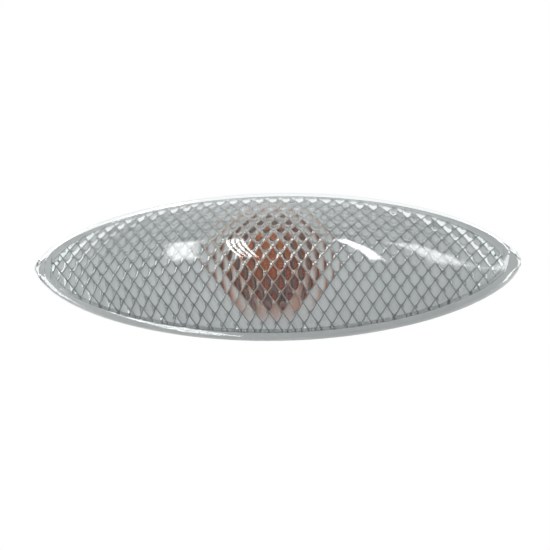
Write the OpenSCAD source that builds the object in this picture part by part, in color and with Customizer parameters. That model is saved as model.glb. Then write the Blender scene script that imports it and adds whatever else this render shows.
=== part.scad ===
// Side repeater lamp: an eye-shaped clear lens with diamond prisms, welded to a back moulding.
// Each module is drawn with x along the lamp, y across it and z out of the car panel,
// and stand() turns it so that the lens faces -Y with Z up. The panel lies in the plane z = 0.

/* [Lens] */
// Length of the lens over its rim
lens_length = 110; // [95:1:130]
// Width of the lens over its rim
lens_width = 34.5; // [31:0.5:42]
// Width of the flat rim along the sides
rim_side = 1.2; // [1:0.1:2.5]
// Width of the flat rim at the two tips
rim_tip = 2.4; // [1.6:0.1:4]
// Thickness of the flat rim
rim_t = 2.2; // [1.5:0.1:3]
// Height of the steep wall that stands on the rim
edge_wall_h = 0.6; // [0.4:0.1:3]
// Height of the crown above that wall
crown_h = 12.6; // [8:0.2:14]
// Wall thickness of the lens
lens_wall = 1.6; // [1.4:0.1:2.4]

/* [Prisms] */
// Width of one diamond prism
prism_w = 3; // [2.8:0.05:5]
// Height of one diamond prism
prism_h = 3.35; // [3:0.05:6]
// Depth of the prisms on the inside of the lens
prism_depth = 1.15; // [0.4:0.05:1.2]

/* [Housing] */
// Thickness of the housing plate
plate_t = 1.5; // [1.2:0.1:2.5]
// How far the plate's edge stays inside the lens rim
plate_inset = 0.5; // [0.3:0.1:1]
// Thickness of the locating lip inside the lens wall
lip_t = 1.2; // [0.8:0.1:2]
// Height of the locating lip
lip_h = 1.1; // [0.6:0.1:1.4]
// How far the ends of the neck stay inside the tips of the lens
neck_end_inset = 19; // [18:0.5:22]
// How far the sides of the neck stay inside the sides of the lens
neck_side_inset = 5.75; // [5.25:0.25:6.25]
// Wall thickness of the neck
neck_wall = 1.8; // [1.4:0.1:2.2]
// How far the neck reaches behind the panel
neck_depth = 8; // [7:0.5:10]
// Thickness of the stiffening ribs
rib_t = 1.4; // [1:0.1:2]
// Inner radius of the bulb cup
cup_r = 9.4; // [9.3:0.05:9.8]
// Wall thickness of the bulb cup
cup_wall = 1.6; // [1.3:0.1:1.9]
// Depth of the cup floor behind the panel
cup_depth = 6.5; // [6:0.25:9]
// Thickness of the cup floor
cup_floor_t = 1.8; // [1.4:0.1:2.4]

/* [Panel fixing] */
// Thickness of the panel gasket
gasket_t = 1.5; // [1:0.1:3]
// Gap between the gasket and the neck
gasket_gap = 0.3; // [0.1:0.1:0.6]
// Width of the hook and of the clip pad
hook_w = 13; // [11:0.5:14]
// Space for the panel under the hook
hook_gap = 2.4; // [1.5:0.1:3.5]
// Thickness of the hook
hook_t = 2; // [1.5:0.1:2.5]
// How far the hook reaches past the neck
hook_reach = 5; // [3:0.25:6]
// Width of the spring clip
clip_w = 9; // [6:0.5:9.5]
// Strip thickness of the spring clip
clip_t = 0.7; // [0.4:0.1:1]
// Room between the clip pad and the gasket, for the clip's free end and the panel's edge
clip_room = 1.4; // [1.2:0.1:2]
// How far the clip bows out past its pad
clip_bow = 3.4; // [2:0.2:4]

/* [Bulb holder] */
// Radius of the bayonet hole in the cup floor
bayonet_r = 7.6; // [7.4:0.05:7.8]
// How far the bayonet lugs reach past the barrel
lug_reach = 1.7; // [1.2:0.05:1.75]
// Thickness of the bayonet lugs
lug_t = 1.6; // [1.2:0.1:2]
// Angle that one lug spans
lug_angle = 30; // [24:1:34]
// Turn between the locked and the open place
unlock_angle = 45; // [42:1:50]
// Running gap between the holder and the housing
turn_gap = 0.3; // [0.2:0.05:0.4]
// Thickness of the holder seal
seal_t = 1.5; // [1:0.1:2.5]
// Radius of the holder flange
flange_r = 11.8; // [11.4:0.1:13]
// Thickness of the holder flange
flange_t = 2.6; // [2:0.1:4]
// Reach of the turning wings from the axis
wing_reach = 14.5; // [13:0.25:17]
// Thickness of the turning wings
wing_t = 2.6; // [2:0.1:4]
// Length of the turning wings behind the flange
wing_h = 6.5; // [4:0.5:9]

/* [Connector] */
// Width inside the connector socket
socket_w = 14; // [12.5:0.25:15]
// Height inside the connector socket
socket_h = 9.4; // [9:0.1:12]
// Depth of the connector socket
socket_depth = 10; // [8:0.5:14]
// Wall thickness of the socket
socket_wall = 1.6; // [1.2:0.1:2.2]
// Thickness of the floor that the blades pass through
socket_floor_t = 1.6; // [1.2:0.1:3]
// Width of the contact strips
contact_w = 2.8; // [2:0.1:3]
// Thickness of the contact strips
contact_t = 0.8; // [0.5:0.05:0.9]
// Distance between the two contact strips
contact_spacing = 7.2; // [7:0.1:7.6]
// Length of the blades in the socket
blade_length = 8; // [6:0.5:8]

/* [Bulb] */
// Diameter of the bulb glass
bulb_d = 10.3; // [9.5:0.1:10.4]
// Length of the glass above its wedge base
bulb_h = 18.3; // [16:0.25:20]
// Wall thickness of the glass
glass_t = 0.7; // [0.5:0.05:1]
// Width of the wedge base
wedge_w = 9.5; // [9:0.1:9.8]
// Thickness of the wedge base
wedge_t = 2.1; // [1.8:0.1:2.3]
// Length of the wedge base
wedge_h = 8.5; // [7:0.25:9]
// Diameter of the lead wires
wire_d = 0.5; // [0.3:0.05:0.6]
// Diameter of the coiled filament
coil_d = 0.7; // [0.4:0.05:1]
// Height of the filament above the wedge base
filament_h = 8.5; // [6:0.25:10]

/* [Hidden] */

$fn = 64;
cut = 1;
fit_gap = 0.1;
hair_gap = 0.05;
slot_gap = 0.4;
contact_side_gap = 0.15;
seat_rise = 3.6;
barrel_rise = 0.6;
contact_room = 0.6;
stop_angle = 5;
seal_step = 0.3;

// The outline of the lens, of its rim and of its hollow is one family of curves:
// half width = width / 2 * (1 - (2 x / length) ^ 2) ^ outline_power
outline_power = 0.6;
outline_steps = 96;
// The crown falls off the same way along the lens, and across it as 1 - |y / half width| ^ crown_power
crown_power = 1.9;
crown_fall = 1.18;
rim_bevel = 0.3;

// Levels along z
plate_z = gasket_t;
rim_z = plate_z + plate_t;
rim_top = rim_z + rim_t;
wall_top = rim_top + edge_wall_h;
hollow_wall_h = 1.6;
hollow_wall_top = rim_z + hollow_wall_h;
cup_floor_z = -cup_depth;
cup_back_z = cup_floor_z - cup_floor_t;
flange_z = cup_back_z - seal_t - fit_gap;
bulb_z = flange_z + seat_rise;
wedge_z = bulb_z - wedge_h;
jog_z = wedge_z - wire_d - 2 * fit_gap;
socket_floor_z = jog_z - contact_t - contact_room;
socket_z = socket_floor_z - socket_floor_t;
holder_end_z = socket_z - socket_depth;

// Outlines inside the lens outline
neck_length = lens_length - 2 * neck_end_inset;
neck_height = lens_width - 2 * neck_side_inset;
dome_length = lens_length - 2 * rim_tip;
dome_width = lens_width - 2 * rim_side;
hollow_length = dome_length - 2 * lens_wall;
hollow_width = dome_width - 2 * lens_wall;

// Bulb holder
barrel_r = bayonet_r - turn_gap;
lug_r = barrel_r + lug_reach;
lug_z = cup_floor_z + turn_gap;
barrel_top = lug_z + lug_t + barrel_rise;
lug_count = 3;
contact_gap = wedge_t / 2 + wire_d + hair_gap;
slot_w = max(wedge_w + 2 * slot_gap, contact_spacing + contact_w + 2 * contact_side_gap);
slot_h = 2 * (contact_gap + contact_t + 2 * fit_gap);

function eye(x, length, width) =
    abs(2 * x) >= length ? 0 : width / 2 * pow(1 - pow(2 * x / length, 2), outline_power);

function eye_outline(length, width) = [
    for (i = [0:outline_steps - 1])
        let (t = 360 * (i + 0.5) / outline_steps)
        [length / 2 * sin(t), width / 2 * sign(cos(t)) * pow(abs(cos(t)), 2 * outline_power)]
];

module stand() {
    rotate([90, 0, 0]) children();
}

module eye_plate(length, width, h) {
    linear_extrude(h) polygon(eye_outline(length, width));
}

module stadium(length, height, h) {
    run = (length - height) / 2;
    linear_extrude(h) square([2 * run, height], center = true);
    for (side = [-1, 1]) translate([side * run, 0, 0]) cylinder(d = height, h = h);
}

// A sector of a ring, centred on the direction of +x
module ring_sector(r_in, r_out, angle, h) {
    rotate(-angle / 2) rotate_extrude(angle = angle) translate([r_in, 0]) square([r_out - r_in, h]);
}

// Lens: one closed surface made of loops, one loop at each station along x.
// A loop runs over the rim and the crown, then back along the prisms on the inside.

half_prism_w = prism_w / 2;
half_prism_h = prism_h / 2;
crown_steps = 14;
shoulder = 0.985;
tip_half = 1.2;
tip_margin = 1.2;
hollow_margin = 0.1;
dome_margin = 0.3;
row_margin = 0.3;
solid_spread = 0.02;
row_limit = floor(hollow_width / 2 / half_prism_h) + 2;
last_prism = floor((hollow_length / 2 - tip_margin) / half_prism_w);
last_prism_x = last_prism * half_prism_w;
hollow_end = hollow_length / 2 - hollow_margin;
solid_start = hollow_end + dome_margin;
dome_end = dome_length / 2 - dome_margin;
tip_end = lens_length / 2;
half_stations = concat(
    [for (k = [0:last_prism]) k * half_prism_w],
    [(last_prism_x + hollow_end) / 2, hollow_end, solid_start, (solid_start + dome_end) / 2],
    [dome_end, dome_length / 2, tip_end - rim_tip / 2, tip_end - rim_tip / 6, tip_end]
);
middle = len(half_stations) - 1;
station_count = 2 * middle + 1;

function station(k) = k < middle ? -half_stations[middle - k] : half_stations[k - middle];

function crown_z(x, y) =
    let (
        half = eye(x, dome_length, dome_width),
        tall = crown_h * pow(1 - pow(2 * x / dome_length, 2), crown_fall)
    )
    wall_top + tall * (1 - pow(min(1, abs(y) / half), crown_power));

// 1 at the middle of a prism, 0 at its four corners
function pillow(x, y) =
    let (u = x / half_prism_w, v = y / half_prism_h, p = (u + v) / 2, q = (u - v) / 2)
    1 - 2 * (pow(p - round(p), 2) + pow(q - round(q), 2));

// The hollow has a crown of its own, which comes down to a low wall, with the prisms hanging from it
function ceiling_z(x, y) =
    let (half = eye(x, hollow_length, hollow_width), tall = crown_z(x, 0) - lens_wall - hollow_wall_top)
    hollow_wall_top + tall * (1 - pow(min(1, abs(y) / half), crown_power)) - prism_depth * pillow(x, y);

// Points of the outside, from the back edge at -y to the back edge at +y
function outside_points(x) =
    let (
        edge = max(eye(x, lens_length, lens_width), tip_half),
        domed = abs(x) <= dome_end,
        foot = domed ? eye(x, dome_length, dome_width) : (edge - rim_bevel) / 2
    )
    concat(
        [[x, -edge, rim_z], [x, -edge, rim_top - rim_bevel], [x, rim_bevel - edge, rim_top]],
        [[x, -foot, rim_top]],
        [for (i = [0:crown_steps])
            let (y = shoulder * foot * sin(180 * i / crown_steps - 90))
            [x, y, domed ? crown_z(x, y) : rim_top]],
        [[x, foot, rim_top]],
        [[x, edge - rim_bevel, rim_top], [x, edge, rim_top - rim_bevel], [x, edge, rim_z]]
    );

// Point n of the inside. Past the last row that fits, the points go down the side wall.
function hollow_point(x, n) =
    let (
        half = eye(x, hollow_length, hollow_width),
        rows = max(0, floor(half / half_prism_h - row_margin)),
        past = abs(n) - rows,
        down = (past - 1) / (row_limit - rows - 1)
    )
    past <= 0
    ? [x, n * half_prism_h, ceiling_z(x, n * half_prism_h)]
    : [x, sign(n) * half, hollow_wall_top - hollow_wall_h * down];

// Past the hollow, the same points lie close together on the back of the rim
function solid_point(x, n) = [x, solid_spread * n * max(eye(x, lens_length, lens_width), tip_half), rim_z];

function inside_points(x) = [
    for (n = [row_limit:-1:-row_limit]) abs(x) <= hollow_end ? hollow_point(x, n) : solid_point(x, n)
];

module lens() {
    loops = [for (k = [0:station_count - 1]) concat(outside_points(station(k)), inside_points(station(k)))];
    n = len(loops[0]);
    last = (station_count - 1) * n;
    caps = station_count * n;
    middle_row = len(outside_points(0)) + row_limit;
    points = concat(
        [for (loop = loops) each loop],
        [for (side = [-1, 1]) [side * tip_end, 0, (rim_z + rim_top) / 2]]
    );
    faces = concat(
        [for (i = [0:n - 1]) [caps, (i + 1) % n, i]],
        [for (k = [0:station_count - 2], i = [0:n - 1])
            let (
                a = k * n + i,
                b = k * n + (i + 1) % n,
                c = a + n,
                d = b + n,
                peak = (k + middle + i + middle_row) % 2 == 0
            )
            each peak ? [[a, b, c], [b, d, c]] : [[a, d, c], [a, b, d]]],
        [for (i = [0:n - 1]) [caps + 1, last + i, last + (i + 1) % n]]
    );
    color([0.86, 0.9, 0.91, 0.6]) stand() polyhedron(points, faces);
}

// Housing: a plate with a locating lip, a neck behind it, a cup for the bulb,
// a fixed hook at one end and a pad for the clip at the other

neck_end = neck_length / 2;
cup_out = cup_r + cup_wall;
pad_start = neck_end - hook_w / 2;
pad_reach = 1;
pad_end = neck_end + pad_reach;
pad_w = hook_w;
pocket_w = clip_w + 2 * turn_gap;
pocket_depth = 3 * clip_t;
pocket_h = 0.75 * neck_depth;
lip_length = hollow_length - 2 * turn_gap;
lip_width = hollow_width - 2 * turn_gap;
lip_share = 0.8;
rib_drop = 1;
fusion = 1;
hook_bevel = 0.4;
hook_step = 0.6;
notch_slack = 4;
rib_shares = [0.45, 0.72];
plate_length = lens_length - 2 * plate_inset;
plate_width = lens_width - 2 * plate_inset;
gasket_inset = 0.8;
flange_room_r = flange_r + 2 * turn_gap;

// A profile in x and z, pulled w across the lamp
module across(points, w) {
    translate([0, w / 2, 0]) rotate([90, 0, 0]) linear_extrude(w) polygon(points);
}

module neck_skirt() {
    translate([0, 0, -neck_depth]) difference() {
        stadium(neck_length, neck_height, neck_depth + plate_z);
        translate([0, 0, -cut])
            stadium(neck_length - 2 * neck_wall, neck_height - 2 * neck_wall, neck_depth + plate_z + cut);
    }
}

// The lip runs along the sides and stops short of the tips, where the prisms hang low
module locating_lip() {
    intersection() {
        difference() {
            eye_plate(lip_length, lip_width, lip_h);
            translate([0, 0, -cut])
                eye_plate(lip_length - 3 * lip_t, lip_width - 2 * lip_t, lip_h + 2 * cut);
        }
        centred_box(lip_share * lip_length, lip_width, -cut, lip_h + cut);
    }
}

module hook() {
    back = -hook_gap - hook_t;
    root = -neck_end + neck_wall / 2;
    tip = -neck_end - hook_reach;
    across([
        [root, back], [tip + hook_t / 2, back], [tip, back + hook_t / 2],
        [tip, -hook_gap - hook_bevel], [tip + hook_bevel, -hook_gap], [root, -hook_gap]
    ], hook_w);
    for (side = [-1, 1]) translate([0, side * hook_w / 3, 0])
        across([
            [root, -neck_depth], [-neck_end - hook_step, -neck_depth], [tip + hook_t, back], [root, back]
        ], rib_t);
}

module ribs() {
    rib_h = neck_depth - rib_drop + plate_z;
    translate([0, 0, rib_drop - neck_depth]) {
        for (side = [-1, 1]) for (share = rib_shares)
            translate([side * share * neck_end - rib_t / 2, fusion - neck_height / 2, 0])
                cube([rib_t, neck_height - 2 * fusion, rib_h]);
        translate([fusion - neck_end, -rib_t / 2, 0]) cube([neck_end - cup_out, rib_t, rib_h]);
        translate([cup_out - fusion, -rib_t / 2, 0])
            cube([rib_shares[1] * neck_end - cup_out + fusion, rib_t, rib_h]);
    }
}

module clip_pad() {
    translate([pad_start, -pad_w / 2, -neck_depth]) cube([pad_end - pad_start, pad_w, neck_depth + plate_z]);
}

module bayonet_notches() {
    for (i = [0:lug_count - 1]) rotate(unlock_angle + i * 360 / lug_count)
        ring_sector(bayonet_r - cut, lug_r + turn_gap, lug_angle + notch_slack, cup_floor_t + 2 * cut);
}

module turn_stops() {
    for (i = [0:lug_count - 1]) rotate(i * 360 / lug_count - lug_angle / 2 - stop_angle)
        translate([0, 0, cup_floor_z - 2 * fit_gap])
            ring_sector(bayonet_r + 4 * fit_gap, cup_r + cup_wall / 2, stop_angle, lug_t + 2 * fit_gap);
}

module housing() {
    color([0.84, 0.85, 0.85]) stand() {
        difference() {
            union() {
                translate([0, 0, plate_z])
                    eye_plate(plate_length, plate_width, plate_t);
                translate([0, 0, rim_z]) locating_lip();
                neck_skirt();
                ribs();
                translate([0, 0, cup_back_z]) cylinder(r = cup_out, h = plate_z - cup_back_z + plate_t / 2);
                hook();
                clip_pad();
            }
            translate([0, 0, cup_floor_z]) cylinder(r = cup_r, h = rim_z - cup_floor_z + cut);
            translate([0, 0, cup_back_z - cut]) {
                cylinder(r = bayonet_r, h = cup_floor_t + 2 * cut);
                bayonet_notches();
            }
            translate([0, 0, cup_back_z - neck_depth]) cylinder(r = flange_room_r, h = neck_depth);
            translate([pad_end - neck_wall - pocket_depth, -pocket_w / 2, -neck_depth - cut])
                cube([pocket_depth, pocket_w, pocket_h + cut]);
        }
        turn_stops();
    }
}

module panel_gasket() {
    color([0.1, 0.1, 0.11]) stand() difference() {
        eye_plate(plate_length - 4 * gasket_inset, plate_width - 2 * gasket_inset, gasket_t);
        translate([0, 0, -cut]) {
            stadium(neck_length + 2 * gasket_gap, neck_height + 2 * gasket_gap, gasket_t + 2 * cut);
            translate([pad_start, -pad_w / 2 - gasket_gap, 0])
                cube([pad_end - pad_start + clip_room, pad_w + 2 * gasket_gap, gasket_t + 2 * cut]);
        }
    }
}

// A strip of even thickness along points in x and z
module bent_strip(points, t, w) {
    translate([0, w / 2, 0]) rotate([90, 0, 0]) linear_extrude(w) {
        for (i = [0:len(points) - 2])
            let (run = points[i + 1] - points[i])
            translate(points[i]) rotate(atan2(run.y, run.x)) translate([0, -t / 2]) square([norm(run), t]);
        for (i = [1:len(points) - 2]) translate(points[i]) circle(d = t);
    }
}

module spring_clip() {
    inner_x = pad_end - neck_wall - fit_gap - clip_t / 2;
    outer_x = pad_end + fit_gap + clip_t / 2;
    bottom = -neck_depth - fit_gap - clip_t / 2;
    color([0.72, 0.73, 0.75]) stand() bent_strip([
        [inner_x, pocket_h - neck_depth - clip_t], [inner_x, bottom], [outer_x, bottom],
        [outer_x, bottom + 2 * clip_t], [outer_x + clip_bow, -neck_depth / 2 - clip_t],
        [outer_x, -hook_gap - clip_t / 2], [outer_x, -clip_t]
    ], clip_t, clip_w);
}

// Bulb holder: a barrel with bayonet lugs, a flange with two turning wings and a connector socket

socket_out_w = socket_w + 2 * socket_wall;
socket_out_h = socket_h + 2 * socket_wall;
pocket_r = bulb_d / 2 + slot_gap;
latch_w = 5;
latch_h = 1.3;
latch_run = 2.5;
wing_bead = 1.2;

module centred_box(w, h, z_low, z_high) {
    translate([-w / 2, -h / 2, z_low]) cube([w, h, z_high - z_low]);
}

module turning_wings() {
    z = flange_z - flange_t - wing_h;
    for (side = [-1, 1]) {
        reach = wing_reach - wing_t / 2;
        translate([side > 0 ? socket_out_w / 2 - fusion : -reach, -wing_t / 2, z])
            cube([reach - socket_out_w / 2 + fusion, wing_t, wing_h + fusion]);
        translate([side * reach, 0, z]) cylinder(d = wing_t * wing_bead, h = wing_h + fusion);
    }
}

module latch_ramp() {
    top = socket_out_h / 2;
    low = holder_end_z + latch_h;
    high = low + latch_run;
    rotate([0, 0, 90]) across([
        [top - cut, low], [top, low], [top + latch_h, high], [top + latch_h, high + latch_h / 2],
        [top - cut, high + latch_h / 2]
    ], latch_w);
}

module bulb_holder() {
    color([0.2, 0.12, 0.1]) stand() difference() {
        union() {
            translate([0, 0, flange_z - cut]) cylinder(r = barrel_r, h = barrel_top - flange_z + cut);
            for (i = [0:lug_count - 1]) rotate(i * 360 / lug_count) translate([0, 0, lug_z])
                ring_sector(barrel_r - cut, lug_r, lug_angle, lug_t);
            translate([0, 0, flange_z - flange_t]) cylinder(r = flange_r, h = flange_t);
            centred_box(socket_out_w, socket_out_h, holder_end_z, flange_z - flange_t / 2);
            turning_wings();
            latch_ramp();
        }
        translate([0, 0, bulb_z]) cylinder(r = pocket_r, h = barrel_top - bulb_z + cut);
        centred_box(slot_w, slot_h, socket_floor_z, bulb_z + cut);
        centred_box(socket_w, socket_h, holder_end_z - cut, socket_z);
        for (side = [-1, 1]) translate([side * contact_spacing / 2, 0, 0]) centred_box(
            contact_w + 2 * fit_gap, contact_t + 2 * fit_gap, socket_z - cut, socket_floor_z + cut
        );
    }
}

module holder_seal() {
    inner_r = barrel_r + fit_gap;
    outer_r = cup_out - 4 * fit_gap;
    color([0.12, 0.13, 0.16]) stand() translate([0, 0, flange_z]) rotate_extrude() {
        translate([inner_r, seal_step]) square([outer_r - inner_r, seal_t - 2 * seal_step]);
        translate([inner_r + seal_step, 0]) square([outer_r - inner_r - 2 * seal_step, seal_t]);
    }
}

leaf_drop = 1.5;
leaf_lead = 0.6;
blade_lead = 0.8;

// A stamped strip: a leaf beside the bulb's wedge, a step to the middle and a blade
module contact(side) {
    leaf = contact_gap;
    top = bulb_z - leaf_drop;
    tip = socket_z - blade_length;
    color([0.8, 0.72, 0.5]) stand() translate([side * contact_spacing / 2 - contact_w / 2, 0, 0])
        rotate([90, 0, 90]) linear_extrude(contact_w) polygon([for (point = [
            [leaf, top - leaf_lead], [leaf + contact_t / 2, top], [leaf + contact_t, top],
            [leaf + contact_t, jog_z - contact_t], [contact_t / 2, jog_z - contact_t],
            [contact_t / 2, tip + blade_lead], [contact_t / 5, tip],
            [-contact_t / 5, tip], [-contact_t / 2, tip + blade_lead],
            [-contact_t / 2, jog_z], [leaf, jog_z]
        ]) [-side * point.x, point.y]]);
}

module contact_left() {
    contact(-1);
}

module contact_right() {
    contact(1);
}

// Bulb: a blown envelope on a flat pinched wedge, with two lead wires and a coiled filament

lead_x = contact_spacing / 2;
inner_lead_x = 1.6;
coil_z = bulb_z + filament_h;
bulb_r = bulb_d / 2;
crown_start = bulb_h - bulb_r;
bulb_foot = 2.4;
neck_round = 1.6;
pinch = 1.2;
lead_drop = 2.5;
lead_room = 4;

// Half outline of the envelope, drawn inward by t
module envelope_profile(t) {
    r = bulb_r - t;
    square([r - neck_round, crown_start]);
    translate([0, neck_round + t]) square([r, crown_start - neck_round - t]);
    translate([r - neck_round, neck_round + t]) intersection() {
        circle(r = neck_round);
        translate([0, -neck_round]) square([neck_round, neck_round]);
    }
    translate([0, crown_start]) intersection() {
        circle(r = r);
        square(r);
    }
}

module bulb_glass() {
    color([0.95, 0.5, 0.1, 0.8]) stand() translate([0, 0, bulb_z]) difference() {
        union() {
            rotate_extrude() envelope_profile(0);
            centred_box(wedge_w, wedge_t, -wedge_h, pinch);
        }
        rotate_extrude() intersection() {
            envelope_profile(glass_t);
            translate([0, bulb_foot]) square([bulb_r, bulb_h]);
        }
        for (side = [-1, 1]) translate([side * inner_lead_x, 0, -wedge_h - cut])
            cylinder(d = wire_d + 2 * hair_gap, h = wedge_h + lead_room);
    }
}

module bulb_filament() {
    color([0.6, 0.6, 0.62]) stand() translate([0, 0, coil_z]) rotate([0, 90, 0])
        cylinder(d = coil_d, h = 2 * inner_lead_x - wire_d - 2 * hair_gap, center = true);
}

module rod(from, to, d) {
    run = to - from;
    translate(from) rotate([0, acos(run.z / norm(run)), atan2(run.y, run.x)]) cylinder(d = d, h = norm(run));
}

// The wire comes down through the wedge, turns under it and lies along one of its faces
module bulb_lead(side) {
    under = -wedge_h - wire_d / 2 - hair_gap;
    out = side * -(wedge_t / 2 + wire_d / 2 + hair_gap / 2);
    path = [
        [side * inner_lead_x, 0, filament_h], [side * inner_lead_x, 0, under],
        [side * lead_x, out, under], [side * lead_x, out, -lead_drop]
    ];
    color([0.75, 0.75, 0.76]) stand() translate([0, 0, bulb_z]) {
        for (i = [0:len(path) - 2]) rod(path[i], path[i + 1], wire_d);
        for (i = [1:len(path) - 2]) translate(path[i]) sphere(d = wire_d);
    }
}

module bulb_lead_left() {
    bulb_lead(-1);
}

module bulb_lead_right() {
    bulb_lead(1);
}

lens();
housing();
panel_gasket();
spring_clip();
bulb_holder();
holder_seal();
contact_left();
contact_right();
bulb_glass();
bulb_filament();
bulb_lead_left();
bulb_lead_right();
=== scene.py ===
"""Side repeater lamp: lens with pillow prisms, amber bulb, finishes, light and camera."""

import math

import bpy
import numpy as np
from mathutils import Matrix, Quaternion, Vector


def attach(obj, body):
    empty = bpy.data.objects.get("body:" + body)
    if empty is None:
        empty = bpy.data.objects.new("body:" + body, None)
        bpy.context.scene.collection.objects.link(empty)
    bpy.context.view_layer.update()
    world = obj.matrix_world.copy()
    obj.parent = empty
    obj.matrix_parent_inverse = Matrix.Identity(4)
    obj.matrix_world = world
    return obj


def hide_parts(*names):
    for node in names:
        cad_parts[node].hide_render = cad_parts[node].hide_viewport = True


MM = 0.001

# Sizes of the lens in mm, as in the part's source. The lens is drawn with x along the lamp,
# y across it and z out of the panel, and stand() turns it into the frame.
LENS_LENGTH = 110.0
LENS_WIDTH = 34.5
OUTLINE_POWER = 0.6
LENS_WALL = 1.6
RIM_SIDE = 1.2
RIM_TIP = 2.4
RIM_FRONT = 5.2
RIM_BEVEL = 0.3
PLATE_FRONT = 3.0
# The lens's back lies this deep in the plate it is welded to, so that no air shows between them
WELD = 0.1
RIM_BACK = PLATE_FRONT - WELD
# Half width that the lens keeps at its tips, where the outline comes to a point
TIP_EDGE = 0.6

# The dome on the rim. Its crown falls off by CROWN_POWER across the lamp and by CROWN_FALL along it.
DOME_LENGTH = LENS_LENGTH - 2 * RIM_TIP
DOME_WIDTH = LENS_WIDTH - 2 * RIM_SIDE
EDGE_WALL = 0.6
WALL_TOP = RIM_FRONT + EDGE_WALL
CROWN = 12.6
CROWN_POWER = 1.9
CROWN_FALL = 1.18
SHOULDER = 0.985

# The hollow under the dome, and the prisms that hang from its ceiling
HOLLOW_LENGTH = DOME_LENGTH - 2 * LENS_WALL
HOLLOW_WIDTH = DOME_WIDTH - 2 * LENS_WALL
HOLLOW_WALL = 1.6
HOLLOW_WALL_TOP = PLATE_FRONT + HOLLOW_WALL
PRISM_W = 3.0
PRISM_H = 3.35
PRISM_DEPTH = 1.15

# Steps of the lens's mesh. The dome and the hollow stop TIP_GAP short of their own tips.
PRISM_STEPS = 6
CROWN_STEPS = 56
TIP_GAP = 0.05
DOME_END = DOME_LENGTH / 2 - TIP_GAP
HOLLOW_END = HOLLOW_LENGTH / 2 - TIP_GAP
ROW_STEP = PRISM_H / 2 / PRISM_STEPS
ROWS = int(HOLLOW_WIDTH / 2 / ROW_STEP) + 4

# The cup in the housing round the bulb, in mm, and how far the painted amber light reaches on the plate
CUP_R = 9.4
CUP_DEPTH = 6.6
PAINTED_LIGHT_R = 12.8
# The painted amber light and shade take in what lies this close round the cup's wall and behind the plate's face
CUP_SLACK = 0.15
PLATE_SLACK = 0.2

# Sizes of the bulb in mm. Its envelope stands on a seat at z = BULB_SEAT, with the wedge below it.
BULB_SEAT = -6.3
BULB_R = 5.15
BULB_LENGTH = 18.3
BULB_GLASS = 0.7
BULB_NECK = 1.6
BULB_FOOT = 2.4
WEDGE_W = 9.5
WEDGE_T = 2.1
WEDGE_LENGTH = 8.5
PINCH = 1.2
FILAMENT_UP = 8.5
FILAMENT_LENGTH = 2.55
FILAMENT_R = 0.35
FILAMENT_WIRE = 0.05
FILAMENT_TURNS = 14

# The lens's plastic, and what it lets through of the lamps' light
LENS_COLOUR = (0.97, 0.985, 0.985)
LENS_SHADOW = (0.93, 0.94, 0.94)
LENS_IOR = 1.49
# The prisms' creases: their share of a prism's width on either side, how matt they are, and their colour:
# painted shade away from the bulb, painted light from the bulb over it, and how far that light reaches along the
# lamp and across it, in mm.
CREASE_WIDTH = 0.08
CREASE_STRENGTH = 0.8
CREASE_PAINTED_SHADE = (0.17, 0.17, 0.17)
CREASE_PAINTED_BULB_LIGHT = (0.52, 0.43, 0.36)
PAINTED_BULB_LIGHT_REACH = (16.0, 14.0)
# The bulb's lacquer, what it lets through of the lamps' light, and the amber light and shade painted on the cup
# and the plate.
# The low index keeps the white background's reflection off the bulb.
AMBER = (0.88, 0.29, 0.008)
AMBER_SHADOW = (1.0, 0.4, 0.02)
PAINTED_AMBER_LIGHT = (0.26, 0.075, 0.014)
AMBER_IOR = 1.1
AMBER_CLEARNESS = 0.84

# Plastics, rubbers and metals: two colours, roughness from and to, size and depth of the grain in mm,
# and for a metal a 1
FINISHES = {
    "filament_metal": ((0.4, 0.4, 0.42), (0.5, 0.5, 0.52), (0.3, 0.4), 0.1, 0.005, 1),
    "housing_plastic": ((0.38, 0.39, 0.39), (0.42, 0.43, 0.43), (0.4, 0.5), 0.25, 0.01),
    "gasket_rubber": ((0.03, 0.03, 0.032), (0.05, 0.05, 0.055), (0.8, 0.95), 0.5, 0.08),
    "clip_steel": ((0.6, 0.61, 0.63), (0.68, 0.69, 0.7), (0.22, 0.36), 0.3, 0.006, 1),
    "holder_plastic": ((0.075, 0.026, 0.018), (0.095, 0.034, 0.024), (0.4, 0.55), 0.3, 0.03),
    "seal_rubber": ((0.02, 0.025, 0.04), (0.03, 0.035, 0.05), (0.6, 0.75), 0.3, 0.01),
    "contact_metal": ((0.78, 0.66, 0.4), (0.84, 0.74, 0.5), (0.2, 0.34), 0.2, 0.004, 1),
    "lead_metal": ((0.7, 0.7, 0.72), (0.76, 0.76, 0.78), (0.2, 0.3), 0.1, 0.002, 1),
}
# The CAD nodes that stay, and their finishes
NODE_FINISHES = {
    "housing": "housing_plastic",
    "panel_gasket": "gasket_rubber",
    "spring_clip": "clip_steel",
    "bulb_holder": "holder_plastic",
    "holder_seal": "seal_rubber",
    "contact_left": "contact_metal",
    "contact_right": "contact_metal",
    "bulb_lead_left": "lead_metal",
    "bulb_lead_right": "lead_metal",
}

# Camera in degrees and mm. The rim's middle shows at AIM_PIXEL.
CAMERA_AZIMUTH = 7.1
CAMERA_ELEVATION = -18.0
CAMERA_ROLL = -1.4
CAMERA_DISTANCE = 285.0
PIXELS_PER_MM = 4.45
IMAGE_PIXELS = 550.0
AIM_PIXEL = (272.4, 263.9)

# Levels of the grey room, of the floor's own brightness in the background and of the windows
ROOM_LEVEL = 0.62
FLOOR_GLOW = 0.75
WINDOW_LEVEL = 24.0
# In metres: how deep the floor lies under the lamp, half its side, and how far off the windows are
FLOOR_DROP = 0.24
FLOOR_HALF = 3.0
WINDOW_DISTANCE = 0.6
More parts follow.
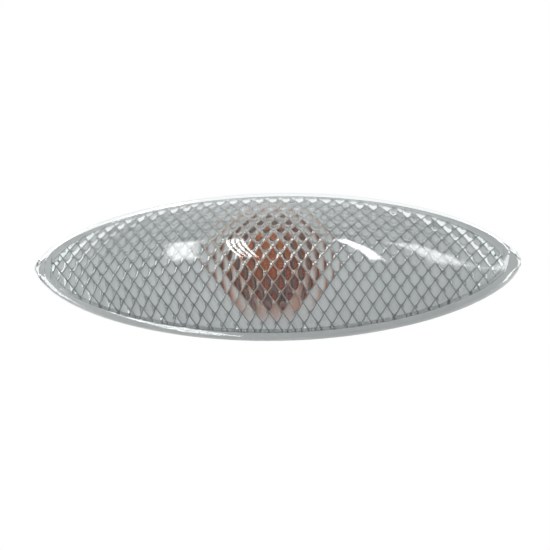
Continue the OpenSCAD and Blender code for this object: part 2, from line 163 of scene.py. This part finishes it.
# The windows: azimuth and elevation, width and height in metres, roll, and share of WINDOW_LEVEL
WINDOWS = {
    "left": (-34, 14, (0.11, 0.55), 6, 0.55),
    **{f"finger_{k}": (-18.2 + 1.7 * k, 13, (0.012, 0.62), 8, 1) for k in range(4)},
    "streak": (22.5, 13, (0.05, 0.6), 9, 1),
    "right": (39.5, 14, (0.08, 0.5), 8, 0.45),
}
# The lamps: azimuth and elevation, distance and size in metres, power in W, and the rays that don't see them
LAMPS = {
    "soft_panel": (-25, 50, 0.9, (0.5, 0.5), 1.2, "glossy"),
    "spark_left": (-16, 35, 0.6, (0.03, 0.05), 0.19, "glossy"),
    "spark_right": (16, 35, 0.6, (0.03, 0.05), 0.19, "glossy"),
    "rear_panel": (215, 30, 0.9, (0.6, 0.6), 2.5, "transmission"),
}


def stand(points):
    """Points in mm in the lens's own axes as metres in the frame."""
    points = np.asarray(points, float)
    return np.stack([points[:, 0], -points[:, 2], points[:, 1]], 1) * MM


def mesh_object(name, points, faces, sharp_deg=35.0):
    mesh = bpy.data.meshes.new(name)
    mesh.from_pydata([tuple(p) for p in points], [], [tuple(int(i) for i in f) for f in faces])
    mesh.validate()
    mesh.shade_smooth()
    mesh.set_sharp_from_angle(angle=math.radians(sharp_deg))
    obj = bpy.data.objects.new(name, mesh)
    bpy.context.scene.collection.objects.link(obj)
    return obj


# Materials


class Nodes:
    """Short calls for building the node tree of a material or the world."""

    def __init__(self, owner):
        self.tree = owner.node_tree
        self.tree.nodes.clear()

    def add(self, kind, inputs=None, **settings):
        node = self.tree.nodes.new(kind)
        for key, value in settings.items():
            setattr(node, key, value)
        for key, value in (inputs or {}).items():
            node.inputs[key].default_value = value
        return node

    def link(self, source, target):
        self.tree.links.new(source, target)

    def output(self, shader, kind="ShaderNodeOutputMaterial"):
        self.link(shader, self.add(kind).inputs["Surface"])

    def noise(self, scale, detail=3.0):
        """Noise in the object's own coordinates, with scale in waves per metre."""
        noise = self.add("ShaderNodeTexNoise", {"Scale": scale, "Detail": detail})
        self.link(self.add("ShaderNodeTexCoord").outputs["Object"], noise.inputs["Vector"])
        return noise.outputs["Fac"]

    def place(self):
        """The object's own coordinates by axis, in metres."""
        split = self.add("ShaderNodeSeparateXYZ")
        self.link(self.add("ShaderNodeTexCoord").outputs["Object"], split.inputs[0])
        return split.outputs

    def from_middle(self, place, size_x=1.0, size_z=1.0):
        """Distance from the bulb's axis in mm, or in shares of two sizes in mm."""
        squares = [self.calc("POWER", self.calc("MULTIPLY", place[axis], 1 / (size * MM)), 2)
                   for axis, size in (("X", size_x), ("Z", size_z))]
        return self.calc("SQRT", self.calc("ADD", *squares))

    def calc(self, operation, *values):
        node = self.add("ShaderNodeMath", operation=operation)
        for value, socket in zip(values, node.inputs):
            if isinstance(value, (int, float)):
                socket.default_value = value
            else:
                self.link(value, socket)
        return node.outputs["Value"]

    def ramp(self, factor, low, high):
        ramp = self.add("ShaderNodeMapRange", {"To Min": low, "To Max": high})
        self.link(factor, ramp.inputs["Value"])
        return ramp.outputs["Result"]

    def smooth(self, value, start, end, top=1.0):
        """0 where the value is start, rising smoothly to top where it is end."""
        ramp = self.add("ShaderNodeMapRange", {"From Min": start, "From Max": end, "To Max": top},
                        interpolation_type="SMOOTHSTEP")
        self.link(value, ramp.inputs["Value"])
        return ramp.outputs["Result"]

    def tint(self, factor, colour_a, colour_b):
        """From colour_a to colour_b, which may each be a colour or a socket."""
        mix = self.add("ShaderNodeMix", data_type="RGBA")
        self.link(factor, mix.inputs[0])
        for colour, socket in ((colour_a, mix.inputs[6]), (colour_b, mix.inputs[7])):
            if isinstance(colour, tuple):
                socket.default_value = (*colour, 1)
            else:
                self.link(colour, socket)
        return mix.outputs[2]

    def bump(self, height, strength, distance_mm):
        bump = self.add("ShaderNodeBump", {"Strength": strength, "Distance": distance_mm * MM})
        self.link(height, bump.inputs["Height"])
        return bump.outputs["Normal"]

    def mix(self, share, shader_a, shader_b):
        mix = self.add("ShaderNodeMixShader")
        for source, socket in zip((share, shader_a, shader_b), mix.inputs):
            self.link(source, socket)
        return mix.outputs["Shader"]

    def lit_through(self, shader, colour):
        """The shader, except that the lamps' light passes straight through it."""
        clear = self.add("ShaderNodeBsdfTransparent", {"Color": (*colour, 1)})
        shadow = self.add("ShaderNodeLightPath").outputs["Is Shadow Ray"]
        return self.mix(shadow, shader, clear.outputs["BSDF"])

    def background_rays(self):
        """1 for rays that show the background, straight or by shiny pieces, and 0 where it would light a piece."""
        path = self.add("ShaderNodeLightPath").outputs
        seen = self.calc("MAXIMUM", path["Is Camera Ray"], path["Is Glossy Ray"])
        seen = self.calc("MAXIMUM", seen, path["Is Transmission Ray"])
        return self.calc("MULTIPLY", seen, self.calc("LESS_THAN", path["Diffuse Depth"], 0.5))


def new_material(name):
    mat = bpy.data.materials.new(name)
    mat.use_nodes = True
    return mat, Nodes(mat)


def plastic(name, colour_a, colour_b, rough, grain_mm, grain_depth_mm, metallic=0, painted_light=None):
    """Moulded plastic, rubber or plain metal: slow colour change, fine grain in bump and roughness.

    The last argument is a function that adds nodes for the share of amber light and shade painted over the
    surface.
    """
    mat, n = new_material(name)
    shader = n.add("ShaderNodeBsdfPrincipled", {"Metallic": metallic})
    colour = n.tint(n.noise(90.0), colour_a, colour_b)
    if painted_light:
        # Painted light and shade: amber over the cup and the plate round the bulb, as if thrown by the bulb's
        # glass
        colour = n.tint(painted_light(n), colour, PAINTED_AMBER_LIGHT)
    n.link(colour, shader.inputs["Base Color"])
    grain = n.noise(1.0 / (grain_mm * MM), 2.0)
    n.link(n.ramp(grain, *rough), shader.inputs["Roughness"])
    n.link(n.bump(grain, 0.6, grain_depth_mm), shader.inputs["Normal"])
    n.output(shader.outputs["BSDF"])
    return mat


def painted_amber_light_share(n):
    """Share of the painted amber light and shade: 1 in the cup round the bulb, and falling to 0 on the plate from
    the cup's edge out to where the painted light ends.
    """
    place = n.place()
    radius = n.from_middle(place)
    cup = n.calc("MULTIPLY", n.calc("LESS_THAN", radius, CUP_R + CUP_SLACK),
                 n.calc("LESS_THAN", place["Y"], CUP_DEPTH * MM))
    plate = n.calc("MULTIPLY", n.smooth(radius, PAINTED_LIGHT_R, CUP_R),
                   n.calc("LESS_THAN", place["Y"], -(PLATE_FRONT - PLATE_SLACK) * MM))
    return n.calc("MAXIMUM", cup, plate)


def lens_glass(n, scale, low, high):
    """The lens's clear plastic, with a roughness from low to high."""
    glass = n.add("ShaderNodeBsdfGlass", {"Color": (*LENS_COLOUR, 1), "IOR": LENS_IOR})
    n.link(n.ramp(n.noise(scale), low, high), glass.inputs["Roughness"])
    return glass.outputs["BSDF"]


def outside_glass(name):
    """The polished outside of the lens."""
    mat, n = new_material(name)
    n.output(n.lit_through(lens_glass(n, 60.0, 0.012, 0.02), LENS_SHADOW))
    return mat


def prism_glass(name):
    """The prisms' side of the lens: clear, with matt creases in painted shade, which are painted lighter and
    warmer over the bulb as if lit by it.
    """
    mat, n = new_material(name)
    place = n.place()
    # Painted light and shade: the matt creases are dark away from the bulb and lighter and warmer near it, as if
    # lit by it
    painted_bulb_light = n.smooth(n.from_middle(place, *PAINTED_BULB_LIGHT_REACH), 1.0, 0.7)
    matt = n.add("ShaderNodeBsdfDiffuse")
    n.link(n.tint(painted_bulb_light, CREASE_PAINTED_SHADE, CREASE_PAINTED_BULB_LIGHT), matt.inputs["Color"])
    along = n.calc("MULTIPLY", place["X"], 1 / (PRISM_W * MM))
    across = n.calc("MULTIPLY", place["Z"], 1 / (PRISM_H * MM))
    edges = [n.calc("PINGPONG", n.calc(way, along, across), 0.5) for way in ("ADD", "SUBTRACT")]
    crease = n.smooth(n.calc("MAXIMUM", *edges), 0.5 - CREASE_WIDTH, 0.5 - CREASE_WIDTH / 3, CREASE_STRENGTH)
    glass = lens_glass(n, 500.0, 0.0, 0.015)
    n.output(n.lit_through(n.mix(crease, glass, matt.outputs["BSDF"]), LENS_SHADOW))
    return mat


def amber_lacquer(name):
    """Glass under a thin amber lacquer, which scatters a little light of its own."""
    mat, n = new_material(name)
    shader = n.add("ShaderNodeBsdfPrincipled", {"Transmission Weight": AMBER_CLEARNESS, "IOR": AMBER_IOR})
    tone = n.noise(400.0)
    n.link(n.tint(tone, AMBER, tuple(c * 0.8 for c in AMBER)), shader.inputs["Base Color"])
    n.link(n.ramp(tone, 0.05, 0.12), shader.inputs["Roughness"])
    n.output(n.lit_through(shader.outputs["BSDF"], AMBER_SHADOW))
    return mat


def paint(node, mat):
    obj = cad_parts[node]
    obj.data.materials.clear()
    obj.data.materials.append(mat)


# Lens


def eye(x, length, width):
    """Half width of the eye outline at x."""
    return width / 2 * np.clip(1 - (2 * x / length) ** 2, 0, 1) ** OUTLINE_POWER


def lens_edge(x):
    return max(float(eye(x, LENS_LENGTH, LENS_WIDTH)), TIP_EDGE)


def crown_z(x, y):
    """The dome's outside."""
    half = np.maximum(eye(x, DOME_LENGTH, DOME_WIDTH), 1e-6)
    tall = CROWN * np.clip(1 - (2 * x / DOME_LENGTH) ** 2, 0, 1) ** CROWN_FALL
    return WALL_TOP + tall * (1 - np.minimum(1, np.abs(y) / half) ** CROWN_POWER)


def pillow(x, y):
    """1 at the middle of a prism, 0 at its four corners."""
    u, v = 2 * x / PRISM_W, 2 * y / PRISM_H
    p, q = (u + v) / 2, (u - v) / 2
    return 1 - 2 * ((p - np.round(p)) ** 2 + (q - np.round(q)) ** 2)


def ceiling_z(x, y):
    """The hollow's own crown, which comes down to a low wall, with the prisms hanging from it."""
    half = np.maximum(eye(x, HOLLOW_LENGTH, HOLLOW_WIDTH), 1e-6)
    tall = crown_z(x, 0) - LENS_WALL - HOLLOW_WALL_TOP
    smooth = HOLLOW_WALL_TOP + tall * (1 - np.minimum(1, np.abs(y) / half) ** CROWN_POWER)
    return smooth - PRISM_DEPTH * pillow(x, y)


def lens_stations():
    """Where the loops stand along the lamp: evenly over the prisms, then out to the dome's ends and the tips."""
    step = PRISM_W / 2 / PRISM_STEPS
    inner = np.arange(0, HOLLOW_END - step / 2, step)
    ends = [
        np.linspace(inner[-1], HOLLOW_END, 6)[1:],
        np.linspace(HOLLOW_END, DOME_END, 10)[1:],
        [DOME_LENGTH / 2 + 0.02],
        LENS_LENGTH / 2 - RIM_TIP * np.linspace(0.95, 0, 12) ** 2,
    ]
    half = np.concatenate([inner, *ends])
    return np.concatenate([-half[:0:-1], half])


def outside_loop(x):
    """The rim's side and front, the dome over them, and the rim again."""
    edge = lens_edge(x)
    domed = abs(x) <= DOME_END
    foot = float(eye(x, DOME_LENGTH, DOME_WIDTH)) if domed else (edge - RIM_BEVEL) / 2
    turn = np.linspace(-math.pi / 2, math.pi / 2, CROWN_STEPS + 1)
    y = SHOULDER * foot * np.sin(turn)
    z = crown_z(x, y) if domed else np.full_like(y, RIM_FRONT)
    bevel = min(RIM_BEVEL, edge / 2)
    side = [(edge, RIM_BACK), (edge, RIM_FRONT - bevel), (edge - bevel * 0.3, RIM_FRONT - bevel * 0.3),
            (edge - bevel, RIM_FRONT), (foot, RIM_FRONT)]
    low = [(x, -a, b) for a, b in side]
    high = [(x, a, b) for a, b in reversed(side)]
    return low + [(x, a, b) for a, b in zip(y, z)] + high


def inside_loop(x):
    """The hollow's walls and ceiling, or the plain back where the lens is solid."""
    if abs(x) > HOLLOW_END:
        return [(x, 0.9 * lens_edge(x) * n / ROWS, RIM_BACK) for n in range(ROWS, -ROWS - 1, -1)]
    half = float(eye(x, HOLLOW_LENGTH, HOLLOW_WIDTH))
    inner = int((half - 0.25 * ROW_STEP) / ROW_STEP)
    loop = []
    for n in range(ROWS, -ROWS - 1, -1):
        past = abs(n) - inner
        if past <= 0:
            loop.append((x, n * ROW_STEP, float(ceiling_z(x, n * ROW_STEP))))
        else:
            down = (past - 1) / (ROWS - inner - 1)
            loop.append((x, math.copysign(half, n), HOLLOW_WALL_TOP - HOLLOW_WALL * down))
    return loop


def lens_optic():
    """Loops round the lens, joined by triangles that follow the prisms' creases."""
    stations = lens_stations()
    loops = [outside_loop(x) + inside_loop(x) for x in stations]
    count = len(loops[0])
    first_inside = count - (2 * ROWS + 1)
    points = np.array([p for loop in loops for p in loop])
    faces = []
    for k in range(len(stations) - 1):
        for i in range(count):
            a, b = k * count + i, k * count + (i + 1) % count
            c, d = a + count, b + count
            flip = False
            if first_inside <= i < count - 1:
                x = (points[a][0] + points[c][0]) / 2
                y = (points[a][1] + points[b][1]) / 2
                p, q = x / PRISM_W + y / PRISM_H, x / PRISM_W - y / PRISM_H
                flip = abs(p - round(p)) < abs(q - round(q))
            faces += [(a, c, d), (a, d, b)] if flip else [(a, c, b), (b, c, d)]
    last = (len(stations) - 1) * count
    faces.append(tuple(range(count)))
    faces.append(tuple(last + i for i in range(count - 1, -1, -1)))
    obj = mesh_object("lens_optic", stand(points), faces)
    # The outside takes the first material and the prisms' side the second
    inside = [int(all(v % count >= first_inside for v in face.vertices)) for face in obj.data.polygons]
    obj.data.polygons.foreach_set("material_index", inside)
    weld = obj.modifiers.new("weld", "WELD")
    weld.merge_threshold = 0.004 * MM
    return obj


# Bulb


def envelope(r, inset, steps=20):
    """Half outline of the bulb as (radius, height) from the seat's middle to the tip's middle."""
    turns = [math.pi / 2 * k / steps for k in range(steps + 1)]
    top = BULB_LENGTH - BULB_R
    points = [(0.0, inset)]
    points += [(r - BULB_NECK + BULB_NECK * math.sin(a), inset + BULB_NECK - BULB_NECK * math.cos(a))
               for a in turns]
    points += [(r * math.cos(a), top + r * math.sin(a)) for a in turns]
    return points


def revolve(profile, steps=96):
    """The profile turned round the z axis, where its two ends lie."""
    points, faces, rings = [], [], []
    for r, z in profile:
        if r < 1e-6:
            rings.append([len(points)])
            points.append((0, 0, z))
        else:
            rings.append(list(range(len(points), len(points) + steps)))
            points += [(r * math.cos(math.tau * k / steps), r * math.sin(math.tau * k / steps), z)
                       for k in range(steps)]
    for low, high in zip(rings, rings[1:]):
        for k in range(steps):
            a, b = low[k % len(low)], low[(k + 1) % len(low)]
            c, d = high[k % len(high)], high[(k + 1) % len(high)]
            faces.append(list(dict.fromkeys([a, b, d, c])))
    return points, faces


def pinched_wedge():
    """The flat base under the envelope: a slab with rounded edges."""
    outline = []
    for side in (1, -1):
        for k in range(9):
            a = math.pi * (k / 8 - 0.5)
            outline.append((side * (WEDGE_W / 2 - WEDGE_T / 2 + WEDGE_T / 2 * math.cos(a)),
                            side * WEDGE_T / 2 * math.sin(a)))
    # Heights over the seat, and the slab's share of its full thickness there
    levels = [(-WEDGE_LENGTH, 0.8), (-WEDGE_LENGTH + 0.25, 1.0), (PINCH - 0.2, 1.0), (PINCH, 0.9)]
    points = [(x * (1 - (1 - share) * 0.3), y * share, BULB_SEAT + z)
              for z, share in levels for x, y in outline]
    count = len(outline)
    faces = [list(range(count - 1, -1, -1)), [(len(levels) - 1) * count + i for i in range(count)]]
    for level in range(len(levels) - 1):
        for i in range(count):
            a, b = level * count + i, level * count + (i + 1) % count
            faces.append([a, b, b + count, a + count])
    return points, faces


def bulb_envelope():
    """A thin closed envelope of glass, open inside, on its wedge."""
    outside, outside_faces = revolve(envelope(BULB_R, 0.0))
    inside, inside_faces = revolve(envelope(BULB_R - BULB_GLASS, BULB_FOOT))
    faces = outside_faces + [[i + len(outside) for i in reversed(f)] for f in inside_faces]
    points = [(x, y, z + BULB_SEAT) for x, y, z in outside + inside]
    wedge, wedge_faces = pinched_wedge()
    faces += [[i + len(points) for i in f] for f in wedge_faces]
    points += wedge
    return mesh_object("bulb_envelope", stand(points), faces, 60)


def filament_coil(steps_per_turn=20, sides=8):
    """A fine coil between the two leads."""
    steps = FILAMENT_TURNS * steps_per_turn
    centre = np.array([0, 0, BULB_SEAT + FILAMENT_UP])
    points, faces = [], []
    for k in range(steps + 1):
        a = math.tau * FILAMENT_TURNS * k / steps
        along = FILAMENT_LENGTH * (k / steps - 0.5)
        radial = np.array([0, math.cos(a), math.sin(a)])
        spot = centre + np.array([along, 0, 0]) + (FILAMENT_R - FILAMENT_WIRE) * radial
        for s in range(sides):
            b = math.tau * s / sides
            points.append(spot + FILAMENT_WIRE * (math.cos(b) * radial + math.sin(b) * np.array([1, 0, 0])))
    for k in range(steps):
        for s in range(sides):
            t = (s + 1) % sides
            faces.append([k * sides + s, k * sides + t, (k + 1) * sides + t, (k + 1) * sides + s])
    faces.append(list(range(sides - 1, -1, -1)))
    faces.append([steps * sides + s for s in range(sides)])
    return mesh_object("filament_coil", stand(np.array(points)), faces, 60)


# Light, floor and camera


def white_world():
    """White wherever the background shows, and a plain grey room that lights the rest."""
    world = bpy.data.worlds.new("studio")
    bpy.context.scene.world = world
    world.use_nodes = True
    n = Nodes(world)
    room = n.add("ShaderNodeBackground", {"Color": (0.97, 0.985, 1.0, 1), "Strength": ROOM_LEVEL})
    white = n.add("ShaderNodeBackground", {"Color": (1, 1, 1, 1)})
    n.output(n.mix(n.background_rays(), room.outputs[0], white.outputs[0]), "ShaderNodeOutputWorld")


def towards(azimuth, elevation):
    """Direction at an azimuth from the lens's front, towards +X, and an elevation, both in radians."""
    return Vector((math.sin(azimuth) * math.cos(elevation), -math.cos(azimuth) * math.cos(elevation),
                   math.sin(elevation)))


def area_light(name, azimuth, elevation, distance, size, power, roll=0):
    """An area light that faces the lamp, with its angles in degrees."""
    spot = towards(math.radians(azimuth), math.radians(elevation)) * distance
    light = bpy.data.lights.new(name, "AREA")
    light.shape = "RECTANGLE"
    light.size, light.size_y = size
    light.energy = power
    obj = bpy.data.objects.new(name, light)
    obj.location = spot
    turn = Quaternion((0, 0, 1), math.radians(roll))
    obj.rotation_euler = ((-spot).to_track_quat("-Z", "Y") @ turn).to_euler()
    bpy.context.scene.collection.objects.link(obj)
    return obj


def window(name, azimuth, elevation, size, roll, level):
    """A tall window with soft edges, of three lights, which only reflections see."""
    for ring in range(3):
        inner = (size[0] * (1 - 0.2 * ring), size[1] * (1 - 0.12 * ring))
        power = math.pi * WINDOW_LEVEL * level / 3 * inner[0] * inner[1]
        distance = WINDOW_DISTANCE + 0.002 * ring
        obj = area_light(f"{name}_{ring}", azimuth, elevation, distance, inner, power, roll)
        obj.visible_diffuse = False
        obj.visible_transmission = False


def floor():
    """A pale floor that nearly goes over into the background."""
    corners = [(-1, -1), (1, -1), (1, 1), (-1, 1)]
    points = [(x * FLOOR_HALF, y * FLOOR_HALF, -FLOOR_DROP) for x, y in corners]
    obj = mesh_object("floor", points, [(0, 1, 2, 3)])
    mat, n = new_material("pale_floor")
    matt = n.add("ShaderNodeBsdfDiffuse")
    n.link(n.tint(n.noise(4.0), (0.84, 0.84, 0.84), (0.9, 0.9, 0.9)), matt.inputs["Color"])
    glow = n.add("ShaderNodeEmission")
    share = n.calc("MULTIPLY", n.background_rays(), FLOOR_GLOW)
    n.output(n.mix(share, matt.outputs["BSDF"], glow.outputs["Emission"]))
    obj.data.materials.append(mat)


def camera():
    az, el, roll = (math.radians(v) for v in (CAMERA_AZIMUTH, CAMERA_ELEVATION, CAMERA_ROLL))
    back = towards(az, el)
    right = Vector((math.cos(az), math.sin(az), 0))
    up = back.cross(right)
    right, up = (right * math.cos(roll) - up * math.sin(roll), right * math.sin(roll) + up * math.cos(roll))
    data = bpy.data.cameras.new("camera")
    obj = bpy.data.objects.new("camera", data)
    bpy.context.scene.collection.objects.link(obj)
    aim = Vector((0, -RIM_FRONT * MM, 0))
    place = aim + back * CAMERA_DISTANCE * MM
    obj.matrix_world = Matrix((
        (right.x, up.x, back.x, place.x),
        (right.y, up.y, back.y, place.y),
        (right.z, up.z, back.z, place.z),
        (0, 0, 0, 1),
    ))
    data.lens = PIXELS_PER_MM * CAMERA_DISTANCE * data.sensor_width / IMAGE_PIXELS
    data.shift_x = (IMAGE_PIXELS / 2 - AIM_PIXEL[0]) / IMAGE_PIXELS
    data.shift_y = (AIM_PIXEL[1] - IMAGE_PIXELS / 2) / IMAGE_PIXELS
    data.clip_start = 0.01
    bpy.context.scene.camera = obj


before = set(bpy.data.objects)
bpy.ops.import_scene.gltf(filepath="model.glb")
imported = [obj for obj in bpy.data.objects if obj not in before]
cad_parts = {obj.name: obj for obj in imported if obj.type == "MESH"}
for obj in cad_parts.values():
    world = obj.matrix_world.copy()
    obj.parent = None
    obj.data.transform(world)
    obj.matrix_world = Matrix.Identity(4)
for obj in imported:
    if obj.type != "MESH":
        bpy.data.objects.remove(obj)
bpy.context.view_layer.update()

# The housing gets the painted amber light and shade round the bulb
painted_lights = {"housing_plastic": painted_amber_light_share}
finishes = {name: plastic(name, *values, painted_light=painted_lights.get(name)) for name, values in FINISHES.items()}

lens = lens_optic()
lens.data.materials.append(outside_glass("clear_lens"))
lens.data.materials.append(prism_glass("clear_lens_prisms"))
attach(lens, "lamp")
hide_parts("lens")

bulb = bulb_envelope()
bulb.data.materials.append(amber_lacquer("amber_glass"))
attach(bulb, "holder")
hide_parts("bulb_glass")

coil = filament_coil()
coil.data.materials.append(finishes["filament_metal"])
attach(coil, "holder")
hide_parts("bulb_filament")

for node, finish in NODE_FINISHES.items():
    paint(node, finishes[finish])

white_world()
for name, values in WINDOWS.items():
    window(name, *values)
for name, (*values, unseen) in LAMPS.items():
    setattr(area_light(name, *values), f"visible_{unseen}", False)
floor()
camera()
bpy.context.scene.view_settings.view_transform = "Standard"
